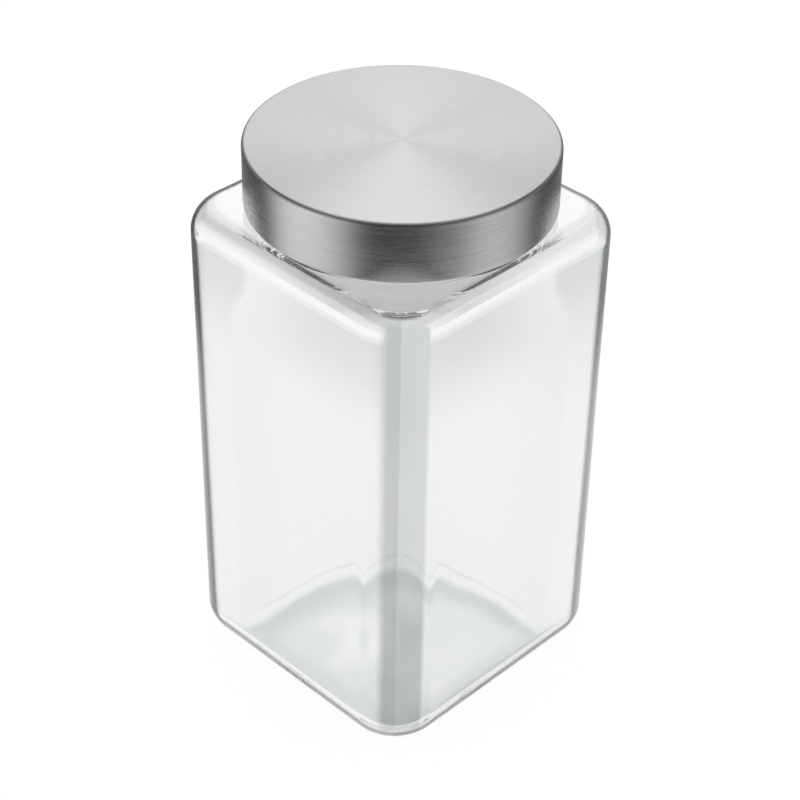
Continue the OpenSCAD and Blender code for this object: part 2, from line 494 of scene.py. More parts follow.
# %% The cover's node tree
def cover_tree():
    """A Geometry Nodes tree that sweeps the cover's outer face round the axis."""
    tree = bpy.data.node_groups.new("spun_cover", "GeometryNodeTree")
    for name in ("Radius", "Top", "Foot", "Edge Radius", "Hem Radius", "Hem Leg", "Axle"):
        tree.interface.new_socket(name, in_out="INPUT", socket_type="NodeSocketFloat")
    tree.interface.new_socket("Steps", in_out="INPUT", socket_type="NodeSocketInt")
    tree.interface.new_socket("Material", in_out="INPUT", socket_type="NodeSocketMaterial")
    tree.interface.new_socket("Geometry", in_out="OUTPUT", socket_type="NodeSocketGeometry")
    size = node(tree, "NodeGroupInput").outputs
    reach = minus(tree, size["Radius"], size["Axle"])
    inner = minus(tree, reach, times(tree, size["Hem Radius"], 2.0))
    leg_top = plus(tree, size["Foot"], plus(tree, size["Hem Radius"], size["Hem Leg"]))
    middle = times(tree, size["Axle"], -1.0)
    corners = [(middle, size["Top"]), (reach, size["Top"]), (reach, size["Foot"]), (inner, size["Foot"]),
               (inner, leg_top)]
    choose = node(tree, "GeometryNodeIndexSwitch", data_type="VECTOR")
    while len(choose.index_switch_items) < len(corners):
        choose.index_switch_items.new()
    index = node(tree, "GeometryNodeInputIndex").outputs[0]
    link(tree, index, choose.inputs[0])
    for i, (x, z) in enumerate(corners):
        link(tree, flat_vector(tree, x, times(tree, z, -1.0)), choose.inputs[i + 1])
    line = node(tree, "GeometryNodeMeshLine", [("Count", len(corners))])
    placed = node(tree, "GeometryNodeSetPosition", [("Geometry", line.outputs[0]),
                                                    ("Position", choose.outputs[0])])
    curve = node(tree, "GeometryNodeMeshToCurve", [("Mesh", placed.outputs[0])])
    is_edge = node(tree, "FunctionNodeCompare", [(2, index), (3, 1)], data_type="INT", operation="EQUAL")
    radius = node(tree, "GeometryNodeSwitch", [("Switch", is_edge.outputs[0]), ("False", size["Hem Radius"]),
                                               ("True", size["Edge Radius"])], input_type="FLOAT")
    round_off = node(tree, "GeometryNodeFilletCurve", [
        ("Curve", curve.outputs[0]), ("Radius", radius.outputs[0]), ("Count", 8)], mode="POLY")
    round_path = node(tree, "GeometryNodeCurvePrimitiveCircle", [("Resolution", size["Steps"]),
                                                                 ("Radius", size["Axle"])])
    swept = node(tree, "GeometryNodeCurveToMesh", [("Curve", round_path.outputs[0]),
                                                   ("Profile Curve", round_off.outputs[0])])
    closed = node(tree, "GeometryNodeMergeByDistance", [("Geometry", swept.outputs[0]), ("Distance", 1e-6)])
    real = node(tree, "GeometryNodeRealizeInstances", [("Geometry", closed.outputs[0])])
    painted = node(tree, "GeometryNodeSetMaterial", [("Geometry", real.outputs[0]),
                                                     ("Material", size["Material"])])
    node(tree, "NodeGroupOutput", [("Geometry", painted.outputs[0])])
    return tree


# %% Run the tree
def grow(name, tree, values):
    """The plain mesh that a Geometry Nodes tree makes with these inputs."""
    seed = bpy.data.objects.new(name + "_seed", bpy.data.meshes.new(name + "_seed"))
    bpy.context.collection.objects.link(seed)
    modifier = seed.modifiers.new("tree", "NODES")
    modifier.node_group = tree
    for item in tree.interface.items_tree:
        if item.in_out == "INPUT":
            modifier[item.identifier] = values[item.name]
    graph = bpy.context.evaluated_depsgraph_get()
    mesh = bpy.data.meshes.new_from_object(seed.evaluated_get(graph), depsgraph=graph)
    bpy.data.objects.remove(seed)
    piece = bpy.data.objects.new(name, mesh)
    bpy.context.collection.objects.link(piece)
    return piece


# %% [markdown]
# ## Finishes
#
# Each finish is a small node tree on Object coordinates, so it stays with its piece as the lid turns. The
# steel is brushed along circles, so its pattern is drawn in two numbers: how far a point lies along a cut
# through the lid, and its direction from the axis. Brushed metal spreads light across its scratches, and
# that is what anisotropy does: the tangent points across the scratches, up the side and outwards on the
# top.
#
# Thick glass looks deeper than thin glass. A renderer's clear glass has no such depth, so a tint follows
# the jar's own shape, and most of the tint is painted shade: darker in the upright corners, where the glass
# is also thicker, under the shoulder and in a strip on each side wall, on the shoulder with an arc round the
# neck, along the shoulder's inner line, in dark outlines where the surface turns away from the eye and along
# the edges of the base. A painted highlight makes it paler along one line of the rolled edge. It counts only
# on the wall that is met first, since light crosses several walls on its way and each would darken it
# again. The two halves of the jar, which meet at the seams, have their own numbers for this painted shade.

# %% Material helpers
def new_material(name):
    """An empty material with its tree, its shader, its coordinates and its output."""
    material = bpy.data.materials.new(name)
    material.use_nodes = True
    tree = material.node_tree
    tree.nodes.clear()
    shader = tree.nodes.new("ShaderNodeBsdfPrincipled")
    out = node(tree, "ShaderNodeOutputMaterial", [("Surface", shader.outputs[0])])
    place = tree.nodes.new("ShaderNodeTexCoord").outputs["Object"]
    return material, tree, shader, place, out


def ramp(tree, value, low, high):
    """A value from 0 to 1, spread between two numbers."""
    return node(tree, "ShaderNodeMapRange", [("Value", value), ("To Min", low), ("To Max", high)]).outputs[0]


def noise_value(tree, vector, scale, detail=2.0, roughness=0.5):
    """Soft noise from 0 to 1."""
    return node(tree, "ShaderNodeTexNoise", [("Vector", vector), ("Scale", scale), ("Detail", detail),
                                             ("Roughness", roughness)]).outputs[0]


def bump(tree, height, distance, strength=1.0):
    """A normal bent by a height in metres."""
    return node(tree, "ShaderNodeBump", [("Height", height), ("Distance", distance),
                                         ("Strength", strength)]).outputs[0]


def grey(level):
    """A grey colour."""
    return level, level, level, 1


def mix_colour(tree, share, first, second):
    """One colour turning into another."""
    return node(tree, "ShaderNodeMix", [(0, share), (6, first), (7, second)], data_type="RGBA").outputs[2]


def smooth_step(tree, value, low, high):
    """0 below one number and 1 above another, with a soft step between them."""
    return node(tree, "ShaderNodeMapRange", [("Value", value), ("From Min", low), ("From Max", high)],
                interpolation_type="SMOOTHSTEP").outputs[0]


def soft_band(tree, value, outer, inner):
    """1 where a distance is below inner, and 0 where it is above outer."""
    return minus(tree, 1.0, smooth_step(tree, value, inner, outer))


def soft_line(tree, value, middle, outer, inner):
    """1 near one value and 0 away from it."""
    return soft_band(tree, size_of(tree, minus(tree, value, middle)), outer, inner)


# %% Where the glass is thick, and where shade and a highlight are painted
HALF_ROOT = math.sqrt(0.5)
CORNER_REACH = 66 * MM
LEFT_BAND = (7.4 * MM, 3.6 * MM)
RIGHT_BAND = (9.5 * MM, 8.7 * MM)
LOW_BAND = (78 * MM, 52 * MM)
SEAM_SOFT = 0.4 * MM
ROUND_Z = SHOULDER_Z - 9 * MM
SHADED_Z = (SHOULDER_Z - 50 * MM, SHOULDER_Z - 10 * MM)
SHOULDER_REACH = (78 * MM, 56 * MM)
SHOULDER_FOOT = SHOULDER_Z - SHOULDER_T - 1 * MM
FRONT_REACH = (25 * MM, 54 * MM)
ARC_R = 61 * MM
ARC_SOFT = (2.8 * MM, 0.4 * MM)
STRIP_REACH = 81 * MM
STRIP_FADE = 40 * MM
STRIP_END = (STRIP_REACH + 1.5 * MM, STRIP_REACH - 0.5 * MM)
STRIP_BEND = 9 * MM
STRIP_BEND_Z = (SHOULDER_Z - 34 * MM, SHOULDER_Z - 12 * MM)
CREASE_IN = 4.3 * MM
CREASE_SOFT = (2.6 * MM, 0.2 * MM)
SHINE_Z = SHOULDER_Z - 6.5 * MM
SHINE_SOFT = (1.8 * MM, 0.4 * MM)
EDGE_FACING = (0.54, 0.66)
BASE_FACING = (0.45, 0.6)
BASE_SOFT = (BASE_R, BASE_R - 2 * MM)
BASE_PATCHES = 110.0
PATCHY = (0.55, 1.25)
FIRST_WALL = 1.5
print(f"corner bands reach {1000 * LEFT_BAND[0]:.1f} mm and {1000 * RIGHT_BAND[0]:.1f} mm from the seam")

# %% The tints, mostly painted shade
# FAR_TINT and CLEAR_TINT give the glass its own faint green. The rest are painted shade, apart from a paler
# painted highlight, and the corner ones stand for the thicker glass there as well.
FAR_TINT = (0.990, 0.996, 0.994, 1)
CLEAR_TINT = (0.87, 0.876, 0.874, 1)
SHADED_TINT = (0.72, 0.73, 0.728, 1)
STRIP_SHADE_TINT = (0.85, 0.86, 0.857, 1)
LEFT_CORNER_GLASS_AND_SHADE = (0.565, 0.582, 0.579, 1)
RIGHT_CORNER_GLASS_AND_SHADE = (0.66, 0.68, 0.676, 1)
LOW_LEFT_CORNER_GLASS_AND_SHADE = (0.47, 0.486, 0.484, 1)
LOW_RIGHT_CORNER_GLASS_AND_SHADE = (0.52, 0.54, 0.537, 1)
SHOULDER_SHADE_TINT = (0.81, 0.82, 0.818, 1)
FRONT_SHOULDER_SHADE = (0.55, 0.56, 0.558, 1)
ARC_SHADE_TINT = (0.44, 0.45, 0.448, 1)
CREASE_SHADE_LEFT = (0.46, 0.47, 0.468, 1)
CREASE_SHADE_RIGHT = (0.75, 0.76, 0.758, 1)
PAINTED_HIGHLIGHT_TINT = (0.96, 0.97, 0.968, 1)
OUTLINE_SHADE_LEFT = (0.012, 0.014, 0.0135, 1)
OUTLINE_SHADE_RIGHT = (0.08, 0.088, 0.087, 1)
BASE_SHADE_LEFT = (0.12, 0.127, 0.126, 1)
BASE_SHADE_RIGHT = (0.05, 0.055, 0.054, 1)


def corner_share(tree, x, y, right):
    """1 in an upright corner, as wide as the thick glass and its painted shade look on each side of the seam.
    """
    ax, ay = size_of(tree, x), size_of(tree, y)
    aside = size_of(tree, times(tree, minus(tree, ax, ay), HALF_ROOT))
    out = times(tree, plus(tree, ax, ay), HALF_ROOT)
    band = plus(tree, times(tree, right, soft_band(tree, aside, *RIGHT_BAND)),
                times(tree, minus(tree, 1.0, right), soft_band(tree, aside, *LEFT_BAND)))
    return times(tree, band, above(tree, out, CORNER_REACH))


def edge_share(tree, x, y):
    """The distance from the square that the round corners are drawn about: CORNER_R on the jar's outline."""
    flat = BODY_HALF - CORNER_R
    past = [math_node(tree, "MAXIMUM", minus(tree, size_of(tree, v), flat), 0.0) for v in (x, y)]
    return math_node(tree, "SQRT", plus(tree, *[times(tree, v, v) for v in past]))


def wall_tint(tree, x, y, z):
    """The tint of a side wall, with painted shade: darker under the shoulder, and in a strip that ends at
    each inner corner.
    """
    under = below(tree, z, ROUND_Z)
    # Painted shade under the shoulder.
    shaded = times(tree, smooth_step(tree, z, *SHADED_Z), under)
    wall = mix_colour(tree, shaded, CLEAR_TINT, SHADED_TINT)
    # A strip of painted shade beside the two corners without a seam.
    bend = times(tree, smooth_step(tree, z, *STRIP_BEND_Z), STRIP_BEND)
    reach = plus(tree, size_of(tree, plus(tree, x, y)), bend)
    strip = times(tree, smooth_step(tree, reach, STRIP_REACH - STRIP_FADE, STRIP_REACH),
                  soft_band(tree, reach, *STRIP_END))
    return mix_colour(tree, times(tree, strip, under), wall, STRIP_SHADE_TINT)


def shoulder_shade(tree, x, y, radius):
    """Painted shade on the shoulder: darker towards the two corners with a seam, with a darker painted arc
    round the neck.
    """
    toward = times(tree, size_of(tree, minus(tree, x, y)), HALF_ROOT)
    front = mix_colour(tree, soft_line(tree, radius, ARC_R, *ARC_SOFT), FRONT_SHOULDER_SHADE, ARC_SHADE_TINT)
    return mix_colour(tree, smooth_step(tree, toward, *FRONT_REACH), SHOULDER_SHADE_TINT, front)


def glass_tint(tree, place):
    """The tint of the wall that is seen first, with its painted shade and highlight, and the thin tint of all
    the others.
    """
    x, y, z = split(tree, place)
    right = smooth_step(tree, plus(tree, x, y), -SEAM_SOFT, SEAM_SOFT)
    radius = length(tree, flat_vector(tree, x, y))
    # Painted shade on the top of the shoulder, round the neck.
    top = times(tree, soft_band(tree, radius, *SHOULDER_REACH), above(tree, z, SHOULDER_FOOT))
    tint = mix_colour(tree, top, wall_tint(tree, x, y, z), shoulder_shade(tree, x, y, radius))
    # A dark line of painted shade along the inner line of the shoulder.
    crease_shade = times(tree, soft_line(tree, edge_share(tree, x, y), CORNER_R - CREASE_IN, *CREASE_SOFT),
                   above(tree, z, SHOULDER_Z - SHOULDER_T))
    tint = mix_colour(tree, crease_shade, tint, mix_colour(tree, right, CREASE_SHADE_LEFT, CREASE_SHADE_RIGHT))
    # A painted highlight: a paler line along the shoulder's rolled edge.
    tint = mix_colour(tree, soft_line(tree, z, SHINE_Z, *SHINE_SOFT), tint, PAINTED_HIGHLIGHT_TINT)
    # The upright corners: thicker glass, with painted shade that differs left and right of the seam.
    corner = mix_colour(tree, soft_band(tree, z, *LOW_BAND), mix_colour(tree, right, LEFT_CORNER_GLASS_AND_SHADE, RIGHT_CORNER_GLASS_AND_SHADE),
                        mix_colour(tree, right, LOW_LEFT_CORNER_GLASS_AND_SHADE, LOW_RIGHT_CORNER_GLASS_AND_SHADE))
    tint = mix_colour(tree, corner_share(tree, x, y, right), tint, corner)
    # Painted shade: a dark outline where the surface turns away from the eye, darker on the left.
    facing = tree.nodes.new("ShaderNodeLayerWeight").outputs["Facing"]
    edge = mix_colour(tree, right, OUTLINE_SHADE_LEFT, OUTLINE_SHADE_RIGHT)
    tint = mix_colour(tree, smooth_step(tree, facing, *EDGE_FACING), tint, edge)
    # Painted shade in broken patches along the edges of the base.
    base = times(tree, smooth_step(tree, facing, *BASE_FACING), soft_band(tree, z, *BASE_SOFT))
    base = times(tree, base, ramp(tree, noise_value(tree, place, BASE_PATCHES), *PATCHY))
    tint = mix_colour(tree, base, tint, mix_colour(tree, right, BASE_SHADE_LEFT, BASE_SHADE_RIGHT))
    depth = tree.nodes.new("ShaderNodeLightPath").outputs["Ray Depth"]
    return mix_colour(tree, below(tree, depth, FIRST_WALL), FAR_TINT, tint)


# %% Glass
WAVE_SCALE = 38.0
RIPPLE_SCALE = 170.0
RIPPLE_SHARE = 1.2
RIPPLE_Z = (15 * MM, 6 * MM)
GLASS_BUMP = 0.4 * MM
GLASS_BUMP_SHARE = 0.35


def glass():
    """Clear soda glass, faintly green, with the soft waves of a mould and finer ripples near the base."""
    material, tree, shader, place, _ = new_material("clear_glass")
    # The base colour carries the tint, with its painted shade and highlight.
    link(tree, glass_tint(tree, place), shader.inputs["Base Color"])
    shader.inputs["Transmission Weight"].default_value = 1
    shader.inputs["IOR"].default_value = 1.5
    shader.inputs["Roughness"].default_value = 0.0
    low = soft_band(tree, split(tree, place)["Z"], *RIPPLE_Z)
    ripples = times(tree, low, noise_value(tree, place, RIPPLE_SCALE))
    height = plus(tree, noise_value(tree, place, WAVE_SCALE, 1.0), times(tree, ripples, RIPPLE_SHARE))
    link(tree, bump(tree, height, GLASS_BUMP, GLASS_BUMP_SHARE), shader.inputs["Normal"])
    return material


# %% Brushed steel
FINE_SCRATCHES = (2600.0, 2.0, 3.0)
BROAD_SCRATCHES = (620.0, 1.0, 2.0)
FINE_SHARE = 0.65
TOP_SHADED_GREYS = (0.283, 0.328)
SIDE_LIT_GREYS = (0.332, 0.68)
BEND_SHADE_GREY = 0.25
BEND_SOFT = (0.8 * MM, 0.2 * MM)
STEEL_ROUGHNESS = (0.20, 0.34)
SCRATCH_BUMP = 0.02 * MM
SCRATCH_BUMP_SHARE = 0.25


def brushed_steel():
    """Steel brushed in circles about the upright axis; its top is painted darker than its side, and a painted
    dark line follows the bend between them.
    """
    material, tree, shader, place, _ = new_material("brushed_steel")
    x, y, z = split(tree, place)
    flat = flat_vector(tree, x, y)
    along = minus(tree, length(tree, flat), z)
    facing = node(tree, "ShaderNodeVectorMath", [(0, flat)], operation="NORMALIZE").outputs[0]
    fx, fy, _ = split(tree, facing)

    def scratches(across, around, detail):
        steps = [times(tree, along, across), times(tree, fx, around), times(tree, fy, around)]
        spot = node(tree, "ShaderNodeCombineXYZ", list(enumerate(steps)))
        return noise_value(tree, spot.outputs[0], 1.0, detail, 0.6)

    fine = scratches(*FINE_SCRATCHES)
    broad = scratches(*BROAD_SCRATCHES)
    mixed = plus(tree, times(tree, fine, FINE_SHARE), times(tree, broad, 1 - FINE_SHARE))
    side = below(tree, z, COVER_TOP - EDGE_R)
    # The top and the side are lit and shaded copies of one steel: painted shade makes the top darker.
    on_top, on_side = [mix_colour(tree, mixed, grey(low), grey(high))
                       for low, high in (TOP_SHADED_GREYS, SIDE_LIT_GREYS)]
    # Painted shade: a dark line along the bend between the top and the side.
    bend = soft_line(tree, along, COVER_R - COVER_TOP, *BEND_SOFT)
    tone = mix_colour(tree, bend, mix_colour(tree, side, on_top, on_side), grey(BEND_SHADE_GREY))
    link(tree, tone, shader.inputs["Base Color"])
    shader.inputs["Metallic"].default_value = 1
    shader.inputs["Anisotropic"].default_value = 0.93
    link(tree, ramp(tree, mixed, *STEEL_ROUGHNESS), shader.inputs["Roughness"])
    link(tree, bump(tree, fine, SCRATCH_BUMP, SCRATCH_BUMP_SHARE), shader.inputs["Normal"])
    around = flat_vector(tree, times(tree, fy, -1.0), fx)
    turned = node(tree, "ShaderNodeVectorTransform", [(0, around)], vector_type="VECTOR",
                  convert_from="OBJECT", convert_to="WORLD").outputs[0]
    normal = node(tree, "ShaderNodeNewGeometry").outputs["Normal"]
    tangent = node(tree, "ShaderNodeVectorMath", [(0, turned), (1, normal)], operation="CROSS_PRODUCT")
    link(tree, tangent.outputs[0], shader.inputs["Tangent"])
    return material


# %% Plastic and seal
PLASTIC_TONES = ((0.80, 0.80, 0.79, 1), (0.86, 0.86, 0.85, 1))
PLASTIC_ROUGHNESS = (0.36, 0.46)
FOAM_TONES = ((0.70, 0.71, 0.71, 1), (0.82, 0.83, 0.83, 1))


def moulded_plastic():
    """White plastic with a satin skin."""
    material, tree, shader, place, _ = new_material("white_plastic")
    cloud = noise_value(tree, place, 60.0, 3.0)
    link(tree, mix_colour(tree, cloud, *PLASTIC_TONES), shader.inputs["Base Color"])
    link(tree, ramp(tree, cloud, *PLASTIC_ROUGHNESS), shader.inputs["Roughness"])
    link(tree, bump(tree, noise_value(tree, place, 2400.0), 0.01 * MM, 0.5), shader.inputs["Normal"])
    return material


def seal_foam():
    """A pale closed-cell foam with a fine grain."""
    material, tree, shader, place, _ = new_material("seal_foam")
    cells = node(tree, "ShaderNodeTexVoronoi", [("Vector", place), ("Scale", 2600.0)]).outputs["Distance"]
    link(tree, mix_colour(tree, cells, *FOAM_TONES), shader.inputs["Base Color"])
    shader.inputs["Roughness"].default_value = 0.75
    link(tree, bump(tree, cells, 0.05 * MM, 0.6), shader.inputs["Normal"])
    return material


GLASS, STEEL, PLASTIC, FOAM = glass(), brushed_steel(), moulded_plastic(), seal_foam()
jar.data.materials.append(GLASS)
print("finishes:", [m.name for m in (GLASS, STEEL, PLASTIC, FOAM)])


# %% The cover
def add_cover():
    """The steel cover, swept by its tree and given its thickness."""
    cover = grow("steel_cover", cover_tree(), {
        "Radius": COVER_R, "Top": COVER_TOP, "Foot": COVER_FOOT, "Edge Radius": EDGE_R, "Hem Radius": HEM_R,
        "Hem Leg": HEM_LEG, "Axle": AXLE_R, "Steps": 240, "Material": STEEL})
    skin = bmesh.new()
    skin.from_mesh(cover.data)
    top = max(skin.faces, key=lambda face: face.calc_center_median().z)
    if top.normal.z < 0:
        bmesh.ops.reverse_faces(skin, faces=skin.faces)
    for face in skin.faces:
        face.smooth = True
    skin.to_mesh(cover.data)
    skin.free()
    sheet = cover.modifiers.new("sheet", "SOLIDIFY")
    sheet.thickness = SHEET
    sheet.offset = -1
    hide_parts("lid_cover")
    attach(cover, "lid")
    return cover


cover = add_cover()
print("steel_cover:", len(cover.data.polygons), "faces")

# %% [markdown]
# ## The insert and the seal
#
# The plastic insert is what really holds the lid: its skirt carries the thread, and a thin rib under its
# plate keeps the seal centred. Both are round, so they are lofts of round rings, with the same thread
# function as the jar's neck.

# %% The insert
SKIRT_R = insert_high.x
SKIRT_T = 2.3 * MM
PLATE_T = 1.5 * MM
PLATE_TOP = insert_high.z
SKIRT_FOOT = insert_low.z
RIB_R = 44 * MM
RIB_T = 1.2 * MM
RIB_FOOT = RIM_Z - 0.5 * MM
SOFT_R = 0.3 * MM
GRIP_TURNS = 1.6
GRIP_H = 2.2 * MM
GRIP_DEPTH = 1.6 * MM
GRIP_DROP = 1.86 * MM


def add_insert():
    """The threaded plastic insert."""
    inner = SKIRT_R - SKIRT_T
    plate = PLATE_TOP - PLATE_T
    profile = span((0, PLATE_TOP), (SKIRT_R - EDGE_R, PLATE_TOP), 8)
    profile += arc((SKIRT_R - EDGE_R, PLATE_TOP - EDGE_R), EDGE_R, 90, 0, 6)
    profile += arc((SKIRT_R - SOFT_R, SKIRT_FOOT + SOFT_R), SOFT_R, 0, -90, 3)
    profile += arc((inner + SOFT_R, SKIRT_FOOT + SOFT_R), SOFT_R, -90, -180, 3)
    rings = [[Vector((0, 0, PLATE_TOP))]] + [round_ring(r, z) for r, z in profile]
    rings += threaded_rings(round_ring, inner, -GRIP_DEPTH, THREAD_START - GRIP_DROP, GRIP_TURNS, GRIP_H,
                            SKIRT_FOOT + 2 * SOFT_R, plate - 2 * SOFT_R, 56)
    under = arc((inner - SOFT_R, plate - SOFT_R), SOFT_R, 0, 90, 3)
    under += arc((RIB_R + SOFT_R, plate - SOFT_R), SOFT_R, 90, 180, 3)
    under += arc((RIB_R - SOFT_R, RIB_FOOT + SOFT_R), SOFT_R, 0, -90, 3)
    under += arc((RIB_R - RIB_T + SOFT_R, RIB_FOOT + SOFT_R), SOFT_R, -90, -180, 3)
    under += arc((RIB_R - RIB_T - SOFT_R, plate - SOFT_R), SOFT_R, 0, 90, 3)
    under += span((RIB_R - RIB_T - SOFT_R, plate), (0, plate), 8)
    rings += [round_ring(r, z) for r, z in under] + [[Vector((0, 0, plate))]]
    insert = loft("thread_insert", rings)
    insert.data.materials.append(PLASTIC)
    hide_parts("lid_thread_insert")
    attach(insert, "lid")
    return insert


insert = add_insert()


# %% The seal
SEAL_OUT_R = seal_high.x
SEAL_IN_R = SEAL_OUT_R - 6.6 * MM
NOSE_R = 0.6 * MM


def add_seal():
    """The loose ring that lies on the rim."""
    low, high = seal_low.z, seal_high.z
    profile = arc((SEAL_IN_R + NOSE_R, low + NOSE_R), NOSE_R, -180, -90, 4)
    profile += arc((SEAL_OUT_R - NOSE_R, low + NOSE_R), NOSE_R, -90, 0, 4)
    profile += arc((SEAL_OUT_R - SOFT_R, high - SOFT_R), SOFT_R, 0, 90, 3)
    profile += arc((SEAL_IN_R + SOFT_R, high - SOFT_R), SOFT_R, 90, 180, 3)
    seal = loft("seal_ring", [round_ring(r, z) for r, z in profile], loop=True)
    seal.data.materials.append(FOAM)
    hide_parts("lid_seal")
    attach(seal, "seal")
    return seal


seal = add_seal()

# %% [markdown]
# ## Light
#
# Clear glass has no colour of its own: what is seen is what it bends into view. In a studio that is a white
# backdrop, and the dark of the room, which draws the outlines. The world here holds both, and it tells them
# apart by the steps that light has made through the glass. Light that has crossed whole walls has made an
# even number of steps, and shows the backdrop. Light that was reflected once, off steel or glass, shows the
# studio: a bright panel to the left, a dimmer one to the right, dark gaps between them and a pale ceiling.
# Light that was caught in the glass for longer shows a soft, even room.

# %% Light path helpers
STRAIGHT_STEPS = 4.5


def straight_light(tree, first):
    """1 for light that comes to the lens straight or across whole walls of glass, and 0 for bounced light.

    first is the depth of a ray that meets nothing on the way: 0 on a surface, and 1 on the world.
    """
    depth = minus(tree, tree.nodes.new("ShaderNodeLightPath").outputs["Ray Depth"], float(first))
    even = below(tree, math_node(tree, "MODULO", depth, 2.0), 0.5)
    return times(tree, even, below(tree, depth, STRAIGHT_STEPS))


def colour_ramp(tree, value, stops):
    """A grey ramp from (place, brightness) pairs."""
    made = node(tree, "ShaderNodeValToRGB", [(0, value)])
    elements = made.color_ramp.elements
    elements.remove(elements[-1])
    elements[0].position = stops[0][0]
    elements[0].color = grey(stops[0][1])
    for place, level in stops[1:]:
        elements.new(place).color = grey(level)
    return made.outputs[0]


def turn_share(tree, angle):
    """An angle in radians as a share of the turn, with the camera's side at a half."""
    side = math.atan2(-math.cos(CAMERA_TURN), math.sin(CAMERA_TURN))
    share = plus(tree, math_node(tree, "DIVIDE", minus(tree, angle, side), 2 * math.pi), 0.5)
    return math_node(tree, "FRACT", plus(tree, share, 1.0))


def around_ramp(tree, angle, stops):
    """A ramp over the whole turn, from (degrees from the camera's side, brightness) pairs."""
    return colour_ramp(tree, turn_share(tree, angle), [(a / 360 + 0.5, level) for a, level in stops])


# %% [markdown]
# ## The studio
#
# Each part of the studio is a line of brightness round the turn, in degrees from the camera's side. They
# lie above one another, by the height of the direction that the light goes in, with soft steps between
# them.

# %% The studio's brightness
LOW_STUDIO = ((-180, 0.85), (-174, 0.8), (-168, 0.36), (-150, 0.2), (-120, 0.1), (-110, 0.2),
              (-100, 0.66), (-90, 1.08), (-76, 1.25), (-64, 1.18), (-50, 0.92), (-40, 0.58), (-30, 0.2),
              (-20, 0.0), (8, 0.0), (20, 0.08), (30, 0.2), (40, 0.32), (50, 0.6), (60, 0.8), (70, 0.88),
              (80, 0.8), (90, 0.64), (100, 0.4), (110, 0.14), (124, 0.09), (146, 0.2), (168, 0.36),
              (174, 0.8), (180, 0.85))
MID_STUDIO = ((-180, 0.85), (-62, 0.85), (-26, 0.4), (18, 0.4), (62, 0.8), (180, 0.85))
HIGH_STUDIO = ((-180, 2.7), (-172, 2.3), (-161, 0.8), (-148, 0.4), (-110, 0.3), (-70, 0.3), (-34, 0.2),
               (0, 0.1), (34, 0.25), (70, 0.3), (110, 0.3), (148, 0.36), (161, 0.75), (172, 2.3),
               (180, 2.7))
OVERHEAD_LEVEL = 1.7
DEEP_STUDIO = ((-180, 0.95), (-135, 1.0), (-90, 0.95), (-45, 0.85), (0, 0.85), (45, 1.0), (90, 0.95),
               (135, 0.85), (180, 0.95))
LOW_TO_MID = (0.0, 0.16)
MID_TO_HIGH = (0.2, 0.4)
HIGH_TO_OVERHEAD = (0.74, 0.94)
DEEP_STEPS = 2.5
DIFFUSE_LEVEL = 0.85
print("stops in each line:", [len(line) for line in (LOW_STUDIO, MID_STUDIO, HIGH_STUDIO, DEEP_STUDIO)])


# %% The world
def add_world():
    """White behind the canister, and a studio round it."""
    world = bpy.data.worlds.new("studio")
    bpy.context.scene.world = world
    world.use_nodes = True
    world.cycles.sampling_method = "NONE"
    tree = world.node_tree
    tree.nodes.clear()
    x, y, z = split(tree, tree.nodes.new("ShaderNodeTexCoord").outputs["Generated"])
    angle = math_node(tree, "ARCTAN2", y, x)
    low, mid, high, deep = [around_ramp(tree, angle, line)
                            for line in (LOW_STUDIO, MID_STUDIO, HIGH_STUDIO, DEEP_STUDIO)]
    studio = mix_colour(tree, smooth_step(tree, z, *LOW_TO_MID), low, mid)
    studio = mix_colour(tree, smooth_step(tree, z, *MID_TO_HIGH), studio, high)
    studio = mix_colour(tree, smooth_step(tree, z, *HIGH_TO_OVERHEAD), studio, grey(OVERHEAD_LEVEL))
    path = tree.nodes.new("ShaderNodeLightPath").outputs
    studio = mix_colour(tree, above(tree, path["Ray Depth"], DEEP_STEPS + 1), studio, deep)
    plain = mix_colour(tree, path["Is Diffuse Ray"], studio, grey(DIFFUSE_LEVEL))
    seen = mix_colour(tree, straight_light(tree, 1), plain, grey(1))
    light = node(tree, "ShaderNodeBackground", [("Color", seen), ("Strength", 1.0)])
    node(tree, "ShaderNodeOutputWorld", [("Surface", light.outputs[0])])


add_world()
print("world:", bpy.context.scene.world.name)


# %% The lamp
LAMP_SIZE = (0.9, 0.7)
LAMP_POWER = 0.9
LAMP_PLACE = (-0.40, 0.44, 1.25)
LAMP_AIM = Vector((0, 0, 0.1))


def add_lamp():
    """One large soft lamp above and behind the canister."""
    lamp = bpy.data.lights.new("softbox", "AREA")
    lamp.shape = "RECTANGLE"
    lamp.size, lamp.size_y = LAMP_SIZE
    lamp.energy = LAMP_POWER
    holder = bpy.data.objects.new("softbox", lamp)
    holder.location = LAMP_PLACE
    holder.rotation_euler = (LAMP_AIM - holder.location).to_track_quat("-Z", "Y").to_euler()
    bpy.context.collection.objects.link(holder)
    return lamp


print("lamp:", round(add_lamp().energy, 2), "W")
jar.visible_shadow = False

# %% [markdown]
# ## The floor
#
# The floor is pale and plain, and mostly gives its own even light, so that a shadow on it stays faint.
# Light that bounced in the glass or off the steel goes through it to the studio, so that the reflections
# are the same whichever way they point. Inside the jar's footprint a shadow is painted on it: a darker
# arch, where the lid's edge would shade it through the glass, a fine darker line behind the arch, painted
# shade inside the arch and painted shade along the front edges where the base stands. These are seen only
# through the glass.

# %% The floor's pattern
CLEAR_FLOOR = grey(1.04)
